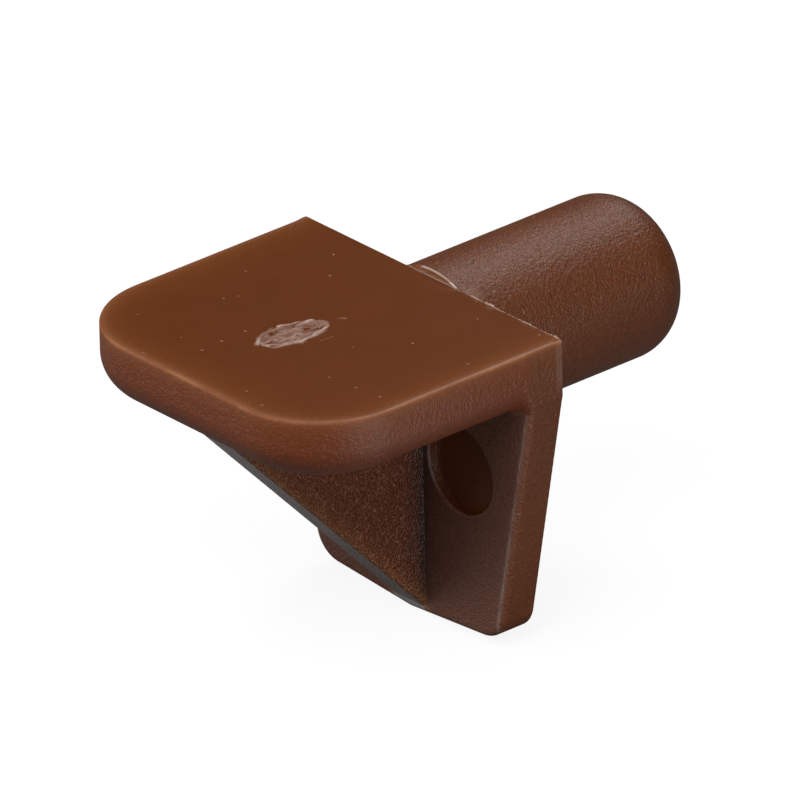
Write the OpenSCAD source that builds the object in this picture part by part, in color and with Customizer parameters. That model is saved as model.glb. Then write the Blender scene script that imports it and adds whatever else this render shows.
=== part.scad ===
// Shelf support peg, moulded in one piece.
// The round peg goes into a hole in the side of a cabinet, the wall plate
// lies against that side, and the shelf rests on the flat seat.
// Axes: +Y runs along the peg into the cabinet side, +Z is up, and the
// origin is on the peg's axis, in the plane where the wall plate lies.

/* [Seat] */
// Width of the seat, from side to side
seat_width = 14.25; // [12:0.05:18]
// Depth of the seat, from the cabinet side to its front edge
seat_depth = 12.05; // [10.5:0.05:16]
// Thickness of the seat
seat_thickness = 2.65; // [2.3:0.05:3.2]
// Radius of the two front corners, seen from above
seat_corner_radius = 3.75; // [2.5:0.05:5]
// Radius of the rounded lower rim
rim_radius = 1.45; // [0.4:0.05:1.8]

/* [Wall plate] */
// Height from the top of the seat to the lowest point of the foot
support_height = 13; // [11.5:0.1:17]
// Thickness of the plate that lies against the cabinet side
plate_thickness = 1.55; // [1.2:0.05:2.2]
// Depth below the seat's top at which the sides begin to narrow
shoulder_drop = 2.2; // [1.6:0.1:3]
// Slope of each side towards the foot, in degrees
side_angle = 11.2; // [4:0.1:14]
// Slope of the foot, up from its middle to each side, in degrees
foot_angle = 4.2; // [1:0.1:8]
// Radius of the foot's two corners
foot_corner_radius = 1.3; // [0.8:0.05:2]
// Radius of the front edges of the plate
plate_edge_radius = 0.25; // [0.1:0.05:0.5]

/* [Rib] */
// Thickness of the rib under the middle of the seat
rib_thickness = 1.9; // [1.2:0.05:2.6]
// Distance from the seat's front edge to the rib's tip, under the seat
rib_setback = 1.1; // [0.8:0.05:2]
// Distance from the lowest point of the foot up to the rib's lower end
rib_foot_gap = 0.35; // [0.3:0.05:1]
// Radius of the rib's two long edges
rib_edge_radius = 0.2; // [0.1:0.05:0.4]

/* [Peg] */
// Diameter of the peg
peg_diameter = 6.35; // [5:0.05:7]
// Length of the peg, from the cabinet side to its end
peg_length = 10.25; // [8:0.05:14]
// Radius of the rounding at the end of the peg
peg_end_radius = 1.85; // [0.8:0.05:2.2]
// Distance from the top of the seat down to the peg's axis
peg_drop = 2.85; // [2.6:0.05:4]

/* [Ejector marks] */
// Diameter of the two round marks beside the rib
mark_diameter = 3.5; // [2:0.1:3.8]
// Depth of the marks
mark_depth = 0.4; // [0.2:0.05:0.6]
// Distance between the centres of the marks
mark_spacing = 6.1; // [5.8:0.1:6.8]
// Distance from the top of the seat down to the centres of the marks
mark_drop = 6.25; // [5.4:0.05:7]

/* [Hidden] */

$fn = 96;

// How far a cutter reaches past the face that it cuts
overshoot = 1;

half_width = seat_width / 2;
peg_radius = peg_diameter / 2;

// Heights above the peg's axis
seat_top = peg_drop;
seat_underside = seat_top - seat_thickness;
shoulder_level = seat_top - shoulder_drop;
foot_level = seat_top - support_height;
mark_level = seat_top - mark_drop;

// The middle of the arc of the seat's right front corner, seen from above
seat_corner = [half_width - seat_corner_radius, seat_corner_radius - seat_depth];

// From the shoulder down, each side of the plate moves inwards, and the foot
// rises from its middle to the sides, so they would meet in a sharp corner
side_slope = tan(side_angle);
foot_slope = tan(foot_angle);
shoulder = [half_width, shoulder_level];
foot_middle = [0, foot_level];
sharp_corner_x = (half_width - side_slope * support_height + side_slope * shoulder_drop)
    / (1 - side_slope * foot_slope);
sharp_corner = [sharp_corner_x, foot_level + foot_slope * sharp_corner_x];

// The middle of the arc that rounds this corner lies one radius inside of
// both lines
arc_side_x = half_width - foot_corner_radius / cos(side_angle);
arc_foot_y = foot_level + foot_corner_radius / cos(foot_angle);
foot_corner_x = (arc_side_x - side_slope * (shoulder_level - arc_foot_y))
    / (1 - side_slope * foot_slope);
foot_corner = [foot_corner_x, arc_foot_y + foot_slope * foot_corner_x];

// The arc is this much larger than one that only touches the lines, so that
// it crosses them cleanly
arc_bulge = 0.004;

// The rib's sloping edge falls from its tip, under the front of the seat, to
// its foot on the plate. It starts higher up, inside of the rounded rim.
rib_tip = [rib_setback - seat_depth, seat_underside];
rib_foot = [-plate_thickness, foot_level + rib_foot_gap];
rib_fall = (rib_tip[1] - rib_foot[1]) / (rib_foot[0] - rib_tip[0]);
rib_root = rim_radius / 2;
rib_top = rib_tip + [-rib_root / rib_fall, rib_root];

// Draws its children on both sides of the centre plane
module both_sides() {
    children();
    mirror([1, 0, 0])
        children();
}

// Turns a drawing of the plate, which has the front face at its foot and its
// height along Y, upright
module place_plate() {
    translate([0, -plate_thickness, 0])
        rotate([90, 0, 0])
            mirror([0, 0, 1])
                children();
}

// Turns a drawing of the rib's side, which has its height along Y, upright
module place_rib() {
    rotate([90, 0, 90])
        children();
}

// The waste outside of a rounded edge, in section. The sharp edge lies on
// the origin and the material is where X and Y are both positive.
module edge_waste(radius) {
    difference() {
        translate([-overshoot, -overshoot])
            square(radius + overshoot);
        translate([radius, radius])
            circle(radius);
    }
}

// The waste along a straight edge at the foot of a solid, between two points
// that have the solid on their left
module straight_waste(start, end, radius) {
    run = end - start;
    translate([start[0], start[1], 0])
        rotate([0, 0, atan2(run[1], run[0])])
            rotate([90, 0, 90])
                linear_extrude(norm(run))
                    edge_waste(radius);
}

// The waste along the edge at the foot of an upright round corner, which
// turns through the sweep from the start angle
module corner_waste(middle, corner_radius, start_angle, sweep, radius) {
    translate([middle[0], middle[1], 0])
        rotate([0, 0, start_angle])
            rotate_extrude(angle = sweep)
                translate([corner_radius, 0])
                    mirror([1, 0])
                        edge_waste(radius);
}

// The seat seen from above: square at the cabinet side, with round corners
// at the front
module seat_outline() {
    difference() {
        translate([-half_width, -seat_depth])
            square([seat_width, seat_depth]);
        both_sides()
            translate([-half_width, -seat_depth])
                edge_waste(seat_corner_radius);
    }
}

module seat() {
    translate([0, 0, seat_underside])
        difference() {
            linear_extrude(seat_thickness)
                seat_outline();
            straight_waste(
                [-seat_corner[0], -seat_depth],
                [seat_corner[0], -seat_depth],
                rim_radius
            );
            both_sides() {
                corner_waste(seat_corner, seat_corner_radius, -90, 90, rim_radius);
                straight_waste([half_width, seat_corner[1]], [half_width, 0], rim_radius);
            }
        }
}

// The waste outside of one side of the plate, with its rounded front edge, in
// section
module plate_side_section() {
    edge_waste(plate_edge_radius);
    translate([-half_width, -overshoot])
        square([half_width, plate_thickness + 2 * overshoot]);
}

// The waste outside of a straight side of the plate, between two points that
// have the plate on their left, and a little further both ways
module plate_side_waste(start, end) {
    run = end - start;
    translate([start[0], start[1], 0])
        rotate([0, 0, atan2(run[1], run[0])])
            translate([-overshoot, 0, 0])
                rotate([90, 0, 90])
                    linear_extrude(norm(run) + 2 * overshoot)
                        plate_side_section();
}

// The waste outside of the foot's right corner arc
module foot_corner_waste() {
    translate([foot_corner[0], foot_corner[1], 0])
        rotate([0, 0, foot_angle - 90])
            rotate_extrude(angle = 90 - side_angle - foot_angle)
                translate([foot_corner_radius + arc_bulge, 0])
                    mirror([1, 0])
                        plate_side_section();
}

module wall_plate() {
    place_plate()
        difference() {
            translate([-half_width, foot_level, 0])
                cube([seat_width, support_height, plate_thickness]);
            both_sides() {
                plate_side_waste(foot_middle, sharp_corner);
                plate_side_waste(sharp_corner, shoulder);
                plate_side_waste(shoulder, [half_width, seat_top]);
                foot_corner_waste();
                // round mark of an ejector pin
                translate([mark_spacing / 2, mark_level, -overshoot])
                    cylinder(h = overshoot + mark_depth, d = mark_diameter);
            }
        }
}

module rib() {
    difference() {
        place_rib()
            linear_extrude(rib_thickness, center = true)
                polygon([
                    rib_top,
                    rib_foot,
                    [-plate_thickness / 2, rib_foot[1]],
                    [-plate_thickness / 2, rib_top[1]]
                ]);
        both_sides()
            translate([-rib_thickness / 2, 0, 0])
                place_rib()
                    straight_waste(rib_top, rib_foot, rib_edge_radius);
    }
}

module peg() {
    rotate([-90, 0, 0])
        rotate_extrude()
            difference() {
                square([peg_radius, peg_length]);
                translate([peg_radius, peg_length])
                    rotate(180)
                        edge_waste(peg_end_radius);
            }
}

module shelf_support() {
    color("saddlebrown") {
        seat();
        wall_plate();
        rib();
        peg();
    }
}

shelf_support();
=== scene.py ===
# %% [markdown]
# # A moulded shelf support peg
# This small part is one piece of brown plastic. A round peg goes into the side
# of a cabinet, a plate lies against that side, and a shelf rests on the seat.
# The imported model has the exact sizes, but its edges are as sharp as a
# drawing's. Here the same form gets the soft edges, the surface and the small
# marks that an injection mould leaves, and then a camera and studio light.

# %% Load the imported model
import math

import bmesh
import bpy
import numpy as np
from mathutils import Matrix, Vector


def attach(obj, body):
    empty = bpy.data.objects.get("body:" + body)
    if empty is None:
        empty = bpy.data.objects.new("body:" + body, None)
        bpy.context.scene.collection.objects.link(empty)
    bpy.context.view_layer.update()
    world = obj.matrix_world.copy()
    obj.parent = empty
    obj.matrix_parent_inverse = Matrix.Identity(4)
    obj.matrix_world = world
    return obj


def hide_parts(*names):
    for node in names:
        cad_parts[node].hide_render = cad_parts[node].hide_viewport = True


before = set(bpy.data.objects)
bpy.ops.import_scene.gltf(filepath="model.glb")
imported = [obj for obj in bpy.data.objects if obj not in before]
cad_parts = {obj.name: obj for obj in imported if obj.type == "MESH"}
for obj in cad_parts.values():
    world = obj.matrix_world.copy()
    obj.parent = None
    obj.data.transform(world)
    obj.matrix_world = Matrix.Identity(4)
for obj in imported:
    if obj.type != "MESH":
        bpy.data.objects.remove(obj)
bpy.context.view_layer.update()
scene = bpy.context.scene
MM = 0.001

# %% [markdown]
# ## Camera
# The part is only 22 mm long, and it is seen through a long lens from almost
# a metre away, so lines that are parallel on the part stay nearly parallel in
# the frame. The camera could be aimed by hand, but a small part shows every
# tenth of a degree. So its place is given by three directions at right
# angles: where it looks, and what is right and up in the frame.

# %% Camera
def unit(v):
    """A vector divided by its length."""
    v = np.asarray(v, float)
    return v / np.linalg.norm(v)


aim_at = np.array([0, 0, 2.85]) * MM
distance = 877.2 * MM
looks = unit([-0.6808, 0.5845, -0.4414])
right = np.array([0.6585, 0.7522, -0.0196])
above = np.array([-0.3206, 0.3040, 0.8971])
spot = aim_at - distance * looks
# the middle of the frame lies a little to the left of this point and below it
looks = unit(looks + (-1.230 * right - 4.488 * above) * MM / distance)
right = unit(right - right.dot(looks) * looks)
above = np.cross(right, looks)

lens = bpy.data.cameras.new("camera")
lens.sensor_width = 36
lens.lens = 1078.2
lens.clip_start = 0.05
lens.clip_end = 20
camera = bpy.data.objects.new("camera", lens)
turn = Matrix(np.column_stack([right, above, -looks]).tolist())
camera.matrix_world = Matrix.Translation(Vector(spot.tolist())) @ turn.to_4x4()
scene.collection.objects.link(camera)
scene.camera = camera
scene.view_settings.view_transform = "Standard"
print("camera at", spot.round(4), "looks along", looks.round(4))

# %% [markdown]
# ## The form as a function of place
# The whole part is described by one function that takes points and returns
# how far each lies outside of the surface: above zero is air, below zero is
# plastic. Flat faces are one subtraction, round ones a square root. Two
# shapes are joined by taking the smaller value and cut by taking the larger
# one. Where plain smaller and larger would leave a sharp corner, a quarter of
# a circle takes its place, which is just how a cutter rounds a mould.
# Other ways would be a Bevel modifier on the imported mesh, which tears where
# its long thin triangles meet the round faces, or a Boolean of separate
# pieces, which leaves sharp inner corners.

# %% Joining and cutting with round edges
def cut(a, b, radius):
    """What lies in both shapes: the larger value, and within the radius of
    the edge the distance from a circle of that radius."""
    corner = np.hypot(np.maximum(a + radius, 0), np.maximum(b + radius, 0))
    return np.minimum(-radius, np.maximum(a, b)) + corner


def join(a, b, radius):
    """What lies in either shape, with a hollow fillet of the radius where
    they meet: a cut of the air around them."""
    return -cut(-a, -b, radius)


def ease(value, start, end):
    """0 before the start, 1 after the end, and 3t^2 - 2t^3 between them."""
    t = np.clip((value - start) / (end - start), 0, 1)
    return t * t * (3 - 2 * t)


# %% Sizes in millimetres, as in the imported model
half_width, seat_depth, seat_top, underside = 7.125, 12.05, 2.85, 0.2
seat_corner, rim = 3.75, 1.45
plate_face, foot, shoulder = -1.55, -10.15, 0.65
side_lean, foot_lean, foot_corner = math.radians(11.2), math.radians(4.2), 1.3
rib_half, rib_tip, rib_foot, rib_run, rib_fall = 0.95, -10.95, -9.8, 9.4, 10
peg_radius, peg_end, peg_rounding = 3.175, 10.25, 1.85
mark_x, mark_z, mark_radius, mark_floor = 3.05, -3.4, 1.75, -1.15
# radii of the soft edges and fillets
top_edge, back_edge, wall_edge, plate_edge, rib_edge = 0.12, 0.05, 0.06, 0.25, 0.2
mark_corner, mark_lip, rib_fillet, peg_fillet = 0.06, 0.1, 0.03, 0.08
blunt, soft_bend = 0.06, 0.03
# how far from the wall the hidden ends of the rib and the peg lie
hidden_end = 0.5
print("from the seat's top to the foot:", seat_top - foot, "mm")

# %% The seat, the wall plate and the rib
def seat_form(x, y, z):
    """A slab with round front corners. Seen from above, the distance is that
    from the straight sides, or past them from a circle at each corner."""
    past_x = x - (half_width - seat_corner)
    past_y = -y - (seat_depth - seat_corner)
    outer = np.hypot(np.maximum(past_x, 0), np.maximum(past_y, 0))
    outline = outer + np.minimum(np.maximum(past_x, past_y), 0) - seat_corner
    return cut(outline, underside - z, rim)


def plate_form(x, y, z):
    """A flat plate whose sides lean in towards a foot with a shallow V. Below
    the shoulder the outline is two leaning lines and a circle between them."""
    lean, rise = side_lean, foot_lean
    side = (x - half_width) * math.cos(lean) - (z - shoulder) * math.sin(lean)
    below = np.hypot(x, blunt) * math.sin(rise) + (foot - z) * math.cos(rise)
    across = half_width - foot_corner / math.cos(lean)
    up = foot + foot_corner / math.cos(rise)
    middle_x = across - math.tan(lean) * (shoulder - up)
    middle_x /= 1 - math.tan(lean) * math.tan(rise)
    middle_z = up + math.tan(rise) * middle_x
    u, v = x - middle_x, z - middle_z
    in_corner = u * math.sin(lean) + v * math.cos(lean) < 0
    in_corner &= u * math.cos(rise) + v * math.sin(rise) > 0
    upright = x - half_width
    near = np.maximum(soft_bend - np.abs(side - upright), 0)
    sides = np.maximum(side, upright) + near**2 / (4 * soft_bend)
    arc = np.hypot(u, v) - foot_corner
    outline = np.where(in_corner, arc, np.maximum(sides, below))
    return cut(outline, plate_face - y, plate_edge)


def rib_form(x, y, z):
    """A thin upright wall below a line that slopes from under the seat's
    front edge down to the foot. Its hidden ends stop inside the plastic."""
    past_slope = -rib_fall * (y - rib_tip) - rib_run * (z - underside)
    past_slope = past_slope / math.hypot(rib_fall, rib_run)
    wall = cut(x - rib_half, past_slope, rib_edge)
    in_seat, in_plate = z - (underside + rim / 2), y + hidden_end
    return np.maximum(wall, np.maximum(in_seat, np.maximum(in_plate, rib_foot - z)))


# %% The whole moulding
def moulding_form(points):
    """The distance from the surface of the whole part, for points in mm. The
    part is the same on both sides, so x is taken without its sign."""
    x, y, z = np.abs(points[:, 0]), points[:, 1], points[:, 2]
    # the fillet under the seat grows towards the sides, but not past them
    inner_fillet = 0.12 + 0.33 * ease(x, 4.8, 6.4)
    body = join(seat_form(x, y, z), plate_form(x, y, z), inner_fillet)
    body = np.maximum(body, x - half_width)
    body = join(body, rib_form(x, y, z), rib_fillet)
    around_mark = np.hypot(x - mark_x, z - mark_z) - mark_radius
    mark = cut(around_mark, y - mark_floor, mark_corner)
    body = cut(body, -mark, mark_lip)
    body = cut(body, y, wall_edge)
    peg = cut(np.hypot(x, z) - peg_radius, y - peg_end, peg_rounding)
    whole = join(body, np.maximum(peg, -hidden_end - y), peg_fillet)
    # the fillet around the peg must not rise above its top
    whole = np.maximum(whole, z - peg_radius)
    above_seat = cut(y, seat_top - z, back_edge)
    # the edge of the seat's top is sharper at the back, where the mould parts
    edge = top_edge + (back_edge - top_edge) * ease(y, -0.6, -0.1)
    return cut(whole, -above_seat, edge)


def outward(points, step=0.004):
    """The direction in which the distance grows: its change over a small
    step along each axis."""
    steps = np.eye(3) * step
    rises = [moulding_form(points + s) - moulding_form(points - s) for s in steps]
    return np.stack(rises, axis=1) / (2 * step)


peg_middle = np.array([[0, peg_end / 2, 0]])
print("plastic around the peg's axis:", -moulding_form(peg_middle)[0], "mm")

# %% [markdown]
# ## A net drawn onto the form
# The function has no mesh yet. A closed net of even squares comes from the
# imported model: its loose triangles are merged, and the Remesh modifier wraps
# them at a voxel of 0.07 mm. Every point of the net then moves along the
# form's slope by its distance from it, a few times over, while neighbours
# even out their spacing. That leaves it exactly on the form, soft edges
# included. A net this fine is wasted on flat faces, so Decimate thins it
# there and leaves the edges alone.

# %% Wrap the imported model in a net
def take_shape(obj, name):
    """The mesh of an object with its modifiers applied."""
    graph = bpy.context.evaluated_depsgraph_get()
    mesh = bpy.data.meshes.new_from_object(obj.evaluated_get(graph))
    mesh.name = name
    return mesh


def points_of(mesh):
    """A mesh's vertices as rows of x, y and z."""
    flat = np.empty(len(mesh.vertices) * 3)
    mesh.vertices.foreach_get("co", flat)
    return flat.reshape(-1, 3)


voxel = 0.07
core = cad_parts["shelf_support"].data.copy()
loose = bmesh.new()
loose.from_mesh(core)
bmesh.ops.remove_doubles(loose, verts=loose.verts, dist=1e-7)
bmesh.ops.scale(loose, vec=(1 / MM,) * 3, verts=loose.verts)
loose.to_mesh(core)
loose.free()
blank = bpy.data.objects.new("blank", core)
scene.collection.objects.link(blank)
wrap = blank.modifiers.new("net", "REMESH")
wrap.mode = "VOXEL"
wrap.voxel_size = voxel
net = take_shape(blank, "net")
print("net:", len(net.vertices), "points")

# %% Draw the net onto the form
links = np.empty(len(net.edges) * 2, int)
net.edges.foreach_get("vertices", links)
links = links.reshape(-1, 2)
count = np.bincount(links.ravel(), minlength=len(net.vertices))


def neighbours_mean(values):
    """For each point of the net, the mean of its neighbours' values."""
    total = [
        np.bincount(links[:, 0], column[links[:, 1]], len(column))
        + np.bincount(links[:, 1], column[links[:, 0]], len(column))
        for column in values.T
    ]
    return np.stack(total, axis=1) / count[:, None]


def onto_form(points):
    """One step onto the form: against its slope, by distance over steepness.
    It returns the points and the unit slopes."""
    slope = outward(points)
    steep = np.maximum((slope**2).sum(axis=1), 0.2)[:, None]
    points = points - moulding_form(points)[:, None] / steep * slope
    return points, slope / np.linalg.norm(slope, axis=1)[:, None]


points = points_of(net)
for even_out in (0.5, 0.5, 0.5, 0, 0):
    points, normals = onto_form(points)
    shift = neighbours_mean(points) - points
    shift -= (shift * normals).sum(axis=1)[:, None] * normals
    points = points + even_out * shift
print("furthest from the form:", np.abs(moulding_form(points)).max(), "mm")

# %% Thin the flat faces
bend = np.linalg.norm(neighbours_mean(normals) - normals, axis=1)
for _ in range(2):
    wider = bend.copy()
    np.maximum.at(wider, links[:, 0], bend[links[:, 1]])
    np.maximum.at(wider, links[:, 1], bend[links[:, 0]])
    bend = wider
net.vertices.foreach_set("co", points.ravel())
net.update()
dense = bpy.data.objects.new("dense", net)
scene.collection.objects.link(dense)
edges_group = dense.vertex_groups.new(name="edges")
edges_group.add(np.nonzero(bend > 0.01)[0].tolist(), 1.0, "REPLACE")
thin = dense.modifiers.new("thin", "DECIMATE")
thin.ratio = 0.36
thin.vertex_group = "edges"
thin.invert_vertex_group = True
thin.vertex_group_factor = 1.0
shell = take_shape(dense, "moulding")

points = points_of(shell)
for _ in range(3):
    points, normals = onto_form(points)
shell.vertices.foreach_set("co", (points * MM).ravel())
shell.update()
shell.polygons.foreach_set("use_smooth", np.ones(len(shell.polygons), bool))
shell.normals_split_custom_set_from_vertices(normals)
for spare in (blank, dense):
    bpy.data.objects.remove(spare)

moulding = bpy.data.objects.new("moulding", shell)
scene.collection.objects.link(moulding)
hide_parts("shelf_support")
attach(moulding, "root")
shell.calc_loop_triangles()
print("moulding:", len(shell.loop_triangles), "triangles")

# %% [markdown]
# ## Flash where the mould halves meet
# The halves of the mould meet in the plane of the cabinet side. Where they
# don't close quite tight, a hair of plastic creeps in between and stays on
# the part as flash: a thin torn fin along the back of the seat's top and
# around the root of the peg. It could be painted on, but a real fin catches
# the light from every side. It is a ribbon, a thin wedge carried along the
# edge, whose height is a sum of sine waves that don't fit together, with a
# few thicker places.

# %% A closed skin over sections
def skin(name, sections):
    """A closed mesh over sections with the same number of points: squares
    from each to the next, and a face over each end."""
    steps, around, _ = sections.shape
    i, j = np.meshgrid(np.arange(steps - 1), np.arange(around), indexing="ij")
    k = (j + 1) % around
    squares = [i * around + j, i * around + k]
    squares += [(i + 1) * around + k, (i + 1) * around + j]
    faces = np.stack(squares, axis=-1).reshape(-1, 4).tolist()
    last = (steps - 1) * around
    faces += [list(range(around))[::-1], [last + n for n in range(around)]]
    mesh = bpy.data.meshes.new(name)
    mesh.from_pydata((sections.reshape(-1, 3) * MM).tolist(), [], faces)
    turned = bmesh.new()
    turned.from_mesh(mesh)
    bmesh.ops.recalc_face_normals(turned, faces=turned.faces)
    turned.to_mesh(mesh)
    turned.free()
    obj = bpy.data.objects.new(name, mesh)
    scene.collection.objects.link(obj)
    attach(obj, "root")
    print(name + ":", len(mesh.polygons), "faces")
    return obj


# %% The fins
def fin(name, along, path, rise, tallest, lumps, seed):
    """A wedge on a path. Its height is a little of a sum of sine waves, plus
    a bell curve for each lump, which is a place, a width and a height."""
    rng = np.random.default_rng(seed)
    lengths = [4.1, 9.7, 21.3, 47.0]
    waves = [np.sin(w * along + p) for w, p in zip(lengths, rng.uniform(0, 6.3, 4))]
    height = 0.3 + 0.3 * np.clip(sum(waves) / 2, -0.7, 1)
    for middle, width, much in lumps:
        height = height + much * np.exp(-(((along - middle) / width) ** 2))
    t = (along - along[0]) / (along[-1] - along[0])
    between_ends = ease(t, 0, 0.03) * (1 - ease(t, 0.97, 1))
    height = tallest * height * (0.15 + 0.85 * between_ends)
    painted_edge_highlight = path + height[:, None] * rise
    painted_edge_highlight[:, 1] += 0.004 - 0.3 * height * (1 + waves[1])
    painted_edge_highlight[:, 2] = np.minimum(painted_edge_highlight[:, 2], peg_radius - 0.001)
    inward = 0.06 * rise
    front = path - inward - [0, 0.035, 0]
    back = path - inward + [0, 0.025, 0]
    return skin(name, np.stack([front, painted_edge_highlight, back], axis=1))


def back_fin(name, start, end, tallest, lumps, seed):
    """A fin along the back of the seat's top, from one x to another."""
    x = np.linspace(start, end, 300)
    path = x[:, None] * [1, 0, 0] + [0, -0.035, seat_top - 0.012]
    return fin(name, x, path, np.array([[0, 0, 1.0]]), tallest, lumps, seed)


right_lumps = [(2.4, 0.2, 0.7), (3.15, 0.22, 1.1)]
right_lumps += [(5.3, 0.3, 0.3), (6.9, 0.16, 1.3)]
left_lumps = [(-5.2, 0.3, 0.6)]
flash_right = back_fin("flash_right", 2.0, 7.08, 0.1, right_lumps, seed=4)
flash_left = back_fin("flash_left", -7.08, -2.1, 0.02, left_lumps, seed=9)

turn = np.radians(np.linspace(-12, 26, 160))
round_out = np.stack([np.sin(turn), 0 * turn, np.cos(turn)], axis=1)
root_path = round_out * (peg_radius - 0.005) + [0, -0.005, 0]
root_lumps = [(-0.45, 0.2, 0.7), (0.85, 0.12, 0.9), (1.2, 0.1, 0.4)]
arc = peg_radius * turn
flash_root = fin("flash_root", arc, root_path, round_out, 0.022, root_lumps, seed=6)

# %% [markdown]
# ## The torn gate
# The plastic flowed into the mould in the middle of the seat's top. When the
# part was torn off its stub, a thin film stayed behind, whitened where it
# stretched. It is a sheet of its own with true ridges, worked out as a height
# over a long oval: a little random relief, and strokes where the film was
# pulled up. Where the height stays below the seat's top, the plastic under it
# shows. Places on it are millimetres along and across the oval.

# %% Where the film was pulled up
gate_x, gate_y, gate_turn = -0.15, -6.75, math.radians(7.7)
strokes = np.array([
    # from along, across, to along, across, width, height
    (-1.56, 0.08, -1.22, -0.30, 0.15, 0.060),
    (-1.42, 0.26, -1.30, 0.50, 0.12, 0.085),
    (-1.26, 0.64, -0.10, 0.88, 0.08, 0.055),
    (-0.10, 0.88, 0.48, 0.70, 0.07, 0.070),
    (0.48, 0.69, 1.22, 0.50, 0.075, 0.100),
    (-0.22, -0.64, 0.28, -0.56, 0.05, 0.080),
    (0.42, -0.36, 1.12, -0.44, 0.17, 0.055),
    (-0.20, 0.36, 0.10, 0.16, 0.06, 0.055),
    (0.10, 0.16, 0.15, 0.42, 0.06, 0.060),
    (-0.55, -0.42, -0.50, -0.40, 0.09, 0.075),
    (-0.86, 0.14, -0.80, 0.20, 0.10, 0.065),
    (-1.10, -0.45, -0.40, -0.70, 0.06, 0.025),
    (1.20, -0.30, 1.02, 0.26, 0.06, 0.045),
    (0.45, 1.20, 1.00, 1.16, 0.04, 0.012),
    (2.02, -0.02, 2.22, 0.20, 0.07, 0.030),
])
print("strokes:", len(strokes))

# %% The height of the film
def plane_waves(u, v, seed, finest):
    """Random relief from about -1 to 1: sine waves in all directions, each
    shorter and lower than the last."""
    rng = np.random.default_rng(seed)
    total = 0
    for number in np.geomspace(3, finest, 10):
        toward, phase = rng.uniform(0, 2 * np.pi, 2)
        u_part, v_part = math.cos(toward) * u, math.sin(toward) * v
        total = total + np.sin(number * (u_part + v_part) + phase) * number**-0.4
    return total / 2


lengthwise, crosswise = np.linspace(-1.9, 2.4, 260), np.linspace(-1.05, 1.35, 120)
u, v = np.meshgrid(lengthwise, crosswise, indexing="ij")
drift = plane_waves(u, v, 3, 16)
oval = np.hypot(u / 1.62, v / np.where(v > 0, 0.9, 0.76)) + 0.05 * drift
inside = 1 - ease(oval, 0.86, 1.02)
creases = 1 - np.abs(plane_waves(u * 0.8, v * 1.7, 12, 30))
sunk = 0.03
film = inside * (sunk + 0.001 + 0.020 * creases**2 + 0.006 * drift)
rim_line = ease(oval, 0.76, 0.9) * (1 - ease(oval, 0.92, 1.02))
film = film + 0.016 * rim_line * ease(v, -0.6, 0.4)
bent_u = u + 0.03 * plane_waves(u, v, 21, 22)
bent_v = v + 0.03 * plane_waves(u, v, 22, 22)
for u0, v0, u1, v1, width, tall in strokes:
    run_u, run_v = u1 - u0, v1 - v0
    t = ((bent_u - u0) * run_u + (bent_v - v0) * run_v) / (run_u**2 + run_v**2)
    t = np.clip(t, 0, 1)
    away = np.hypot(bent_u - u0 - t * run_u, bent_v - v0 - t * run_v)
    ridge = tall * (0.75 + 0.35 * drift) - away * tall / width
    film = np.maximum(film, sunk + ridge)
print("film above the seat's top, at most:", film.max() - sunk, "mm")

# %% The sheet
film_x = gate_x + u * math.sin(gate_turn) + v * math.cos(gate_turn)
film_y = gate_y + u * math.cos(gate_turn) - v * math.sin(gate_turn)
film_top = np.stack([film_x, film_y, seat_top - sunk + film], axis=-1)
film_under = film_top[:, [-1, 0]].copy()
film_under[:, :, 2] = seat_top - 0.08
gate_film = skin("gate_film", np.concatenate([film_top, film_under], axis=1))
film_faces = gate_film.data.polygons
film_faces.foreach_set("use_smooth", np.ones(len(film_faces), bool))

# %% [markdown]
# ## Arithmetic on a surface
# A material's patterns are sums and products of numbers that change from
# place to place. In the shader editor each step is a Math node. Here a small
# class holds one such number and gives Python's own signs a meaning, so
# `1 - mask` adds the Subtract node by itself. Any other node comes from one
# method that takes its type, its settings and its inputs.

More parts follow.
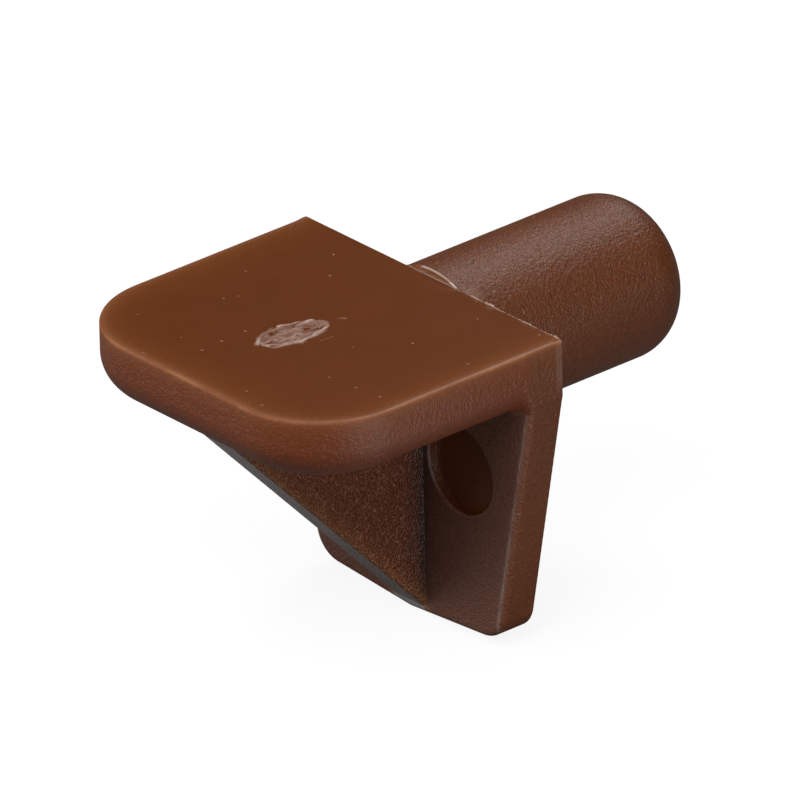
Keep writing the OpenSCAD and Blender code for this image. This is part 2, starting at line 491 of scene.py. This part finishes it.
# %% The nodes of a material
class Graph:
    """The nodes of one material."""

    def __init__(self, material):
        material.use_nodes = True
        self.tree = material.node_tree

    def node(self, kind, settings=None, inputs=None):
        """Adds a node, sets its settings first, and then gives its sockets
        numbers, colours or links."""
        made = self.tree.nodes.new(kind)
        for name, value in (settings or {}).items():
            setattr(made, name, value)
        for key, value in (inputs or {}).items():
            self.feed(made.inputs[key], value)
        return made

    def feed(self, socket, value):
        """Links a field or a socket, or writes a plain value."""
        if isinstance(value, Field):
            value = value.socket
        if isinstance(value, bpy.types.NodeSocket):
            self.tree.links.new(value, socket)
        else:
            socket.default_value = value

    def field(self, kind, settings=None, inputs=None, output=0):
        """Adds a node and takes one of its outputs as a field."""
        return Field(self, self.node(kind, settings, inputs).outputs[output])

    def mix(self, amount, first, second):
        """The first colour where the amount is 0, the second where it is 1."""
        colours = {"Factor": amount, 6: first, 7: second}
        settings = {"data_type": "RGBA"}
        return self.node("ShaderNodeMix", settings, colours).outputs[2]

    def place(self):
        """The place on the part in mm, as a vector and its three parts."""
        start = self.node("ShaderNodeTexCoord").outputs["Object"]
        scaled = {0: start, "Scale": 1 / MM}
        scaled = self.node("ShaderNodeVectorMath", {"operation": "SCALE"}, scaled)
        apart = self.node("ShaderNodeSeparateXYZ", None, {0: scaled.outputs[0]})
        return scaled.outputs[0], *(Field(self, output) for output in apart.outputs)

    def noise(self, at, scale, detail=2.0, roughness=0.55, stretch=None):
        """Soft random values around a half, with this many bumps to the mm."""
        if stretch:
            settings, values = {"operation": "MULTIPLY"}, {0: at, 1: stretch}
            at = self.node("ShaderNodeVectorMath", settings, values).outputs[0]
        values = {"Vector": at, "Scale": scale, "Detail": detail}
        values["Roughness"] = roughness
        return self.field("ShaderNodeTexNoise", {"noise_dimensions": "3D"}, values)

    def bump(self, relief, strength, distance):
        """The normal of a surface with this relief."""
        values = {"Height": relief, "Strength": strength, "Distance": distance}
        return self.node("ShaderNodeBump", None, values).outputs["Normal"]

    def shade(self, values):
        """Gives the Principled BSDF its numbers, colours and links."""
        bsdf = self.tree.nodes["Principled BSDF"]
        for name, value in values.items():
            self.feed(bsdf.inputs[name], value)


# %% A number that changes from place to place
class Field:
    """A number that changes over the surface, with Python's arithmetic."""

    def __init__(self, graph, socket):
        self.graph, self.socket = graph, socket

    def math(self, operation, *others):
        """One Math node, with this field as its first value."""
        values = dict(enumerate((self, *others)))
        settings = {"operation": operation}
        return self.graph.field("ShaderNodeMath", settings, values)

    def __add__(self, other):
        return self.math("ADD", other)

    __radd__ = __add__

    def __mul__(self, other):
        return self.math("MULTIPLY", other)

    __rmul__ = __mul__

    def __sub__(self, other):
        return self.math("SUBTRACT", other)

    def __rsub__(self, other):
        return (self * -1) + other

    def __truediv__(self, other):
        return self.math("DIVIDE", other)

    def __neg__(self):
        return self * -1

    def __abs__(self):
        return self.math("ABSOLUTE")

    def above(self, other):
        """The larger of the two."""
        return self.math("MAXIMUM", other)

    def below(self, other):
        """The smaller of the two."""
        return self.math("MINIMUM", other)

    def hypot(self, other):
        """The long side of a right triangle on both."""
        return (self * self + other * other).math("SQRT")

    def fade(self, length):
        """1 at zero, and e times less for each length."""
        return (self * (-1 / length)).math("EXPONENT")

    def ease(self, start, end):
        """0 before the start, 1 after the end, smooth between them."""
        settings = {"interpolation_type": "SMOOTHSTEP"}
        values = {"Value": self, "From Min": start, "From Max": end}
        return self.graph.field("ShaderNodeMapRange", settings, values)

    def fall(self, start, end):
        """1 before the start, 0 after the end, smooth between them."""
        return 1 - self.ease(start, end)


# %% [markdown]
# ## The plastic
# The mould was cut with sparks, which leaves a fine grain on all that it
# shapes. Only the seat's top was polished, so the shelf slides onto it. The
# ejector pins leave smooth round marks, and the rib's sloping edge is smooth;
# its grey is a painted reflection. Light goes a short way into the plastic,
# which a little subsurface scattering gives, and the warmer brown glow at its
# edges is painted on, as are highlights along edges, sheen, sparkle on the
# grain and shade in the corner of rib and plate. A texture could hold all
# this, but patterns worked out from the place on the part need no picture,
# stay sharp from near by and keep their true size. Lengths are in
# millimetres.

# %% Places on the part
plastic = bpy.data.materials.new("brown plastic")
paint = Graph(plastic)
nodes = plastic.node_tree.nodes
place, px, py, pz = paint.place()
beside = abs(px)

past_x = beside - (half_width - seat_corner)
past_y = -py - (seat_depth - seat_corner)
outer = past_x.above(0).hypot(past_y.above(0))
inset = seat_corner - outer - past_x.above(past_y).below(0)
from_seat_edge = inset.hypot(seat_top - pz)

past_slope = (py - rib_tip) * -rib_fall - (pz - underside) * rib_run
past_slope = past_slope / math.hypot(rib_fall, rib_run)
from_rib_edge = (beside - rib_half).hypot(past_slope)
from_mark = (beside - mark_x).hypot(pz - mark_z)
side_in = half_width - beside + (pz - shoulder).below(0) * math.tan(side_lean)
from_plate_edge = side_in.hypot(py - plate_face)
print("for the places:", len(nodes), "nodes")

# %% Parts of the surface
below_seat = pz.fall(0.1, 0.3)
on_top = pz.ease(seat_top - 0.06, seat_top - 0.01) * py.fall(-0.07, -0.02)
on_rim = (1 - on_top) * pz.ease(0, 0.3) * py.fall(-1.8, -1.4)
on_rib = beside.fall(0.97, 1.1) * below_seat * py.fall(-1.6, -1.5)
on_slope = past_slope.ease(-0.03, 0) * beside.fall(0.8, rib_half) * below_seat
on_mark = from_mark.fall(1.55, 1.68) * py.ease(-1.3, -1.2) * py.fall(-1, -0.8)
on_face = (py - plate_face).fall(0.02, 0.1) * below_seat * (1 - on_rib)
by_face = (py - plate_face).fall(0.1, 0.2) * below_seat * (1 - on_rib)
on_side = side_in.fall(0.02, 0.06)
# the part of the peg's root that stands above the seat, and a rubbed patch,
# whose colour is a painted sheen
on_crescent = (pz - seat_top).ease(0.02, 0.06) * py.fall(0, 0.03)
rubbed_and_sheen = (px - 1.75).hypot(0.8 * (py - 0.25)).fall(0.1, 0.55)
rubbed_and_sheen = rubbed_and_sheen * pz.ease(2.2, 2.4) * py.ease(0.01, 0.05)
print("with the parts of the surface:", len(nodes), "nodes")

# %% Grain, dust and streaks
grain = paint.noise(place, 6, 2, 0.6) * 0.5 + paint.noise(place, 11, 1.5, 0.6) * 0.5
rib_grain = 1.35 * paint.noise(place, 14, 0, 0.5, stretch=(1, 1, 0.7)) - 0.175
grain = grain + (rib_grain - grain) * on_rib
grainy = (1 - on_top) * (1 - 0.95 * on_mark) * (1 - 0.85 * on_slope)
grainy = grainy * (1 - 0.7 * from_seat_edge.fade(0.4))

# A Voronoi pattern has one grain of dust in each cell. Two random numbers for
# each cell say whether the grain is shown, and how large it is.
cells_per_mm = 0.8
cells = {"Vector": place, "Scale": cells_per_mm, "Randomness": 1.0}
flat = {"voronoi_dimensions": "2D", "feature": "F1"}
dust = paint.node("ShaderNodeTexVoronoi", flat, cells)
chance = paint.node("ShaderNodeSeparateColor", None, {0: dust.outputs["Color"]})
picked, size = (Field(paint, chance.outputs[n]) for n in (0, 1))
from_dust = Field(paint, dust.outputs["Distance"]) / cells_per_mm
speck = (from_dust - 0.03 * size).fall(0.01, 0.05)
speck = speck * picked.ease(0.78, 0.8) * on_top
streaks = paint.noise(place, 1.0, 4, 0.6, stretch=(6, 0.35, 1))
mottle = paint.noise(place, 0.55, 3, 0.6).ease(0.3, 0.7)
print("with the patterns:", len(nodes), "nodes")

# %% Where each colour lies
# painted shade in the grain's hollows and painted sparkle on its high points
painted_grain_shade = grainy * grain.fall(0.34, 0.48) * (0.5 - 0.3 * on_rib)
painted_grain_sparkle = grainy * grain.ease(0.54, 0.70) * (0.45 + 0.5 * on_rib)
# painted shade that falls in the corner where the rib meets the plate
near_plate = (plate_face - py).above(0).fade(0.65) * py.fall(-1.45, -1.3)
near_rib = (beside - rib_half).above(0).fade(0.35)
painted_corner_shade = near_plate * near_rib * below_seat * 0.85
# painted glow of light leaving the plastic near the rib's and plate's edges, the
# seat's edge and the peg's crescent
painted_lower_glow = (from_rib_edge.fade(0.2) * 0.7).above(from_plate_edge.fade(0.3) * 0.12)
painted_glow = (from_seat_edge.fade(0.6) * 0.5).above(painted_lower_glow * below_seat)
painted_glow = painted_glow.above(on_crescent * 0.5)
# painted highlight lines along the seat's edge and the rib's edges
painted_edge_highlight = from_seat_edge.fade(0.05) * mottle * 0.7
painted_rib_highlight = from_rib_edge.fade(0.22) * (0.4 + 0.6 * grain) * below_seat
# painted highlight along the rounded mouths of the ejector marks, broken in places
lip_breaks = 0.4 + 0.6 * paint.noise(place, 1.3).ease(0.35, 0.6)
painted_lip_highlight = abs(from_mark - (mark_radius + 0.05)).fade(0.035) * on_face * lip_breaks
# painted highlight line where the plate's front starts to round
painted_fold_highlight = abs(side_in - 0.22).fade(0.05) * by_face * (0.3 + 0.5 * mottle)
back_strip = py.ease(-0.36, -0.3) * 0.2 + py.ease(-0.09, -0.06) * 0.3
back_strip = back_strip * on_side * pz.ease(0.6, 1.4)
print("with the colours' places:", len(nodes), "nodes")

# %% Colour upon colour
browns = [(0.144, 0.0335, 0.0030, 1), (0.156, 0.0365, 0.0040, 1)]
layers = [
    # how much of it, its red, green and blue, and what it is
    (on_rib * 0.25, (0.30, 0.050, 0.012)),  # painted glow of light coming through the thin rib
    (on_rim * 0.35, (0.22, 0.026, 0.001)),  # the seat's rim
    (painted_grain_shade, (0.085, 0.020, 0.004)),  # painted shade in the hollows of the grain
    (painted_grain_sparkle, (0.30, 0.105, 0.055)),  # painted sparkle on the grain's high points
    (painted_corner_shade, (0.016, 0.009, 0.008)),  # painted shade in the deep corner of rib and plate
    (painted_glow, (0.34, 0.105, 0.018)),  # painted glow of light that leaves the plastic at an edge
    (painted_edge_highlight, (0.66, 0.30, 0.12)),  # painted highlight on the seat's rounded edge
    (painted_rib_highlight, (0.38, 0.16, 0.07)),  # painted highlight on the rib's two long edges
    (speck * 0.4, (0.45, 0.22, 0.13)),  # dust
    (rubbed_and_sheen * 0.35, (0.34, 0.20, 0.15)),  # a rubbed patch on the peg, with a painted sheen
    (painted_lip_highlight * 0.6, (0.34, 0.24, 0.20)),  # painted highlight on the rounded lips of the ejector marks
    (on_face * 0.3, (0.24, 0.14, 0.12)),  # painted sheen on the plate's front
    (painted_fold_highlight, (0.48, 0.34, 0.28)),  # painted highlight where the plate's edge starts to round
    (on_slope * 0.8, (0.40, 0.365, 0.35)),  # painted grey reflection on the rib's smooth sloping edge
    (back_strip, (0.40, 0.24, 0.20)),  # lighter strips near the back of the sides
]
colour = paint.mix(mottle, *browns)
for amount, tone in layers:
    colour = paint.mix(amount, colour, (*tone, 1))
print("layers of colour:", len(layers))

# %% Gloss and relief
gloss = 0.43 + 0.10 * (grain - 0.5) - on_top * (0.19 - 0.05 * (streaks - 0.5))
roughness = gloss - on_slope * 0.18 + from_seat_edge.fade(0.13) * 0.5
depth = (0.085 + 0.06 * on_rib) * (1 - 0.4 * rubbed_and_sheen) * (1 - 0.8 * painted_corner_shade)
relief = grainy * grain * depth + on_top * (0.0006 * streaks + 0.012 * speck)
normal = paint.bump(relief, 1.0, MM)

paint.shade({"Base Color": colour, "Roughness": roughness, "Normal": normal})
paint.shade({"IOR": 1.5, "Specular IOR Level": 0.72, "Subsurface Weight": 0.1})
paint.shade({"Subsurface Scale": 0.6 * MM, "Subsurface Radius": (1.0, 0.3, 0.1)})
moulding.data.materials.clear()
moulding.data.materials.append(plastic)
print("plastic:", len(nodes), "nodes")

# %% [markdown]
# ## The same plastic, torn
# Where plastic is stretched until it tears it turns whitish, and the more so
# the further it was pulled. So the film and the fins are a second material,
# whose paleness follows the height above the seat.

# %% Stretched plastic
stretched = bpy.data.materials.new("stretched plastic")
torn = Graph(stretched)
torn_place, _, backwards, height = torn.place()
fibres = torn.noise(torn_place, 7, 3, 0.6, stretch=(1, 0.45, 1))
by_wall, near_peg = backwards.ease(-0.5, -0.4), height.ease(2.96, 3.0)
pale = (height - seat_top).ease(-0.012, 0.085) + 0.5 * (fibres - 0.5)
pale = (pale + 0.3 * by_wall) * (1 - 0.65 * near_peg)
tight, drawn_out = (0.17, 0.048, 0.016, 1), (0.68, 0.50, 0.42, 1)
torn_colour = torn.mix(pale.above(0.04).below(1), tight, drawn_out)
torn_normal = torn.bump(fibres, 0.6, 0.02 * MM)
torn.shade({"Base Color": torn_colour, "Roughness": 0.42, "Normal": torn_normal})
torn.shade({"Subsurface Weight": 0.15, "Subsurface Scale": 0.2 * MM})
for piece in (gate_film, flash_right, flash_left, flash_root):
    piece.data.materials.append(stretched)
print("stretched plastic:", len(stretched.node_tree.nodes), "nodes")

# %% [markdown]
# ## Floor and light
# A small satin part is lit with soft boxes: large, even lamps close to it,
# whose reflections model its round faces. A tiny lamp low on the right puts a
# sheen on the seat's corner. What the camera sees behind the part is white.
# The part itself sees a dimmer floor and a dark room, which keeps its outlines
# and its shaded side deep. It has no glass or metal in which the white would
# show.

# %% Floor
reach = 1.5
level = foot * MM
corners = [(-reach, -reach, level), (reach, -reach, level)]
corners += [(reach, reach, level), (-reach, reach, level)]
ground = bpy.data.meshes.new("floor")
ground.from_pydata(corners, [], [(0, 1, 2, 3)])
floor = bpy.data.objects.new("floor", ground)
scene.collection.objects.link(floor)

card = bpy.data.materials.new("pale card")
paper = Graph(card)
white, grey = (1, 1, 1, 1), (0.17, 0.17, 0.17, 1)
matte = paper.node("ShaderNodeBsdfDiffuse", None, {"Color": grey}).outputs[0]
seen = paper.node("ShaderNodeLightPath").outputs["Is Camera Ray"]
lift = {"Color": white, "Strength": Field(paper, seen) * 0.89}
shine = paper.node("ShaderNodeEmission", None, lift).outputs[0]
both = paper.node("ShaderNodeAddShader", None, {0: matte, 1: shine}).outputs[0]
paper.feed(card.node_tree.nodes["Material Output"].inputs["Surface"], both)
ground.materials.append(card)
print("floor at the foot's level:", foot, "mm")

# %% The room
room = bpy.data.worlds.new("studio")
scene.world = room
air = Graph(room)
seen = air.node("ShaderNodeLightPath").outputs["Is Camera Ray"]
dim = 0.02
strength = dim + (1 - dim) * Field(air, seen)
backdrop = room.node_tree.nodes["Background"]
air.feed(backdrop.inputs["Color"], white)
air.feed(backdrop.inputs["Strength"], strength)
print("light of the room, next to what the camera sees:", dim)

# %% Soft boxes
def soft_box(name, azimuth, elevation, power, size=0.15, away=0.3):
    """A square lamp that faces the part from a direction in degrees: the
    azimuth from -Y towards +X, the elevation above the floor."""
    lamp = bpy.data.lights.new(name, "AREA")
    lamp.shape = "SQUARE"
    lamp.size = size
    lamp.energy = power
    a, e = math.radians(azimuth), math.radians(elevation)
    level_part, rise = math.cos(e), math.sin(e)
    towards = Vector((math.sin(a) * level_part, -math.cos(a) * level_part, rise))
    obj = bpy.data.objects.new(name, lamp)
    obj.location = towards * away
    obj.rotation_euler = towards.to_track_quat("Z", "Y").to_euler()
    scene.collection.objects.link(obj)
    print(name + ":", power, "W at", tuple(round(v, 3) for v in obj.location))


soft_box("front right box", 45, 52, 0.36)
soft_box("front box", 0, 52, 0.26)
soft_box("left box", -45, 20, 0.34)
soft_box("right box", 90, 10, 0.205)
soft_box("back box", -155, 48, 0.29)
soft_box("low card", 81.4, -16, 0.0005, size=0.007, away=0.0243)
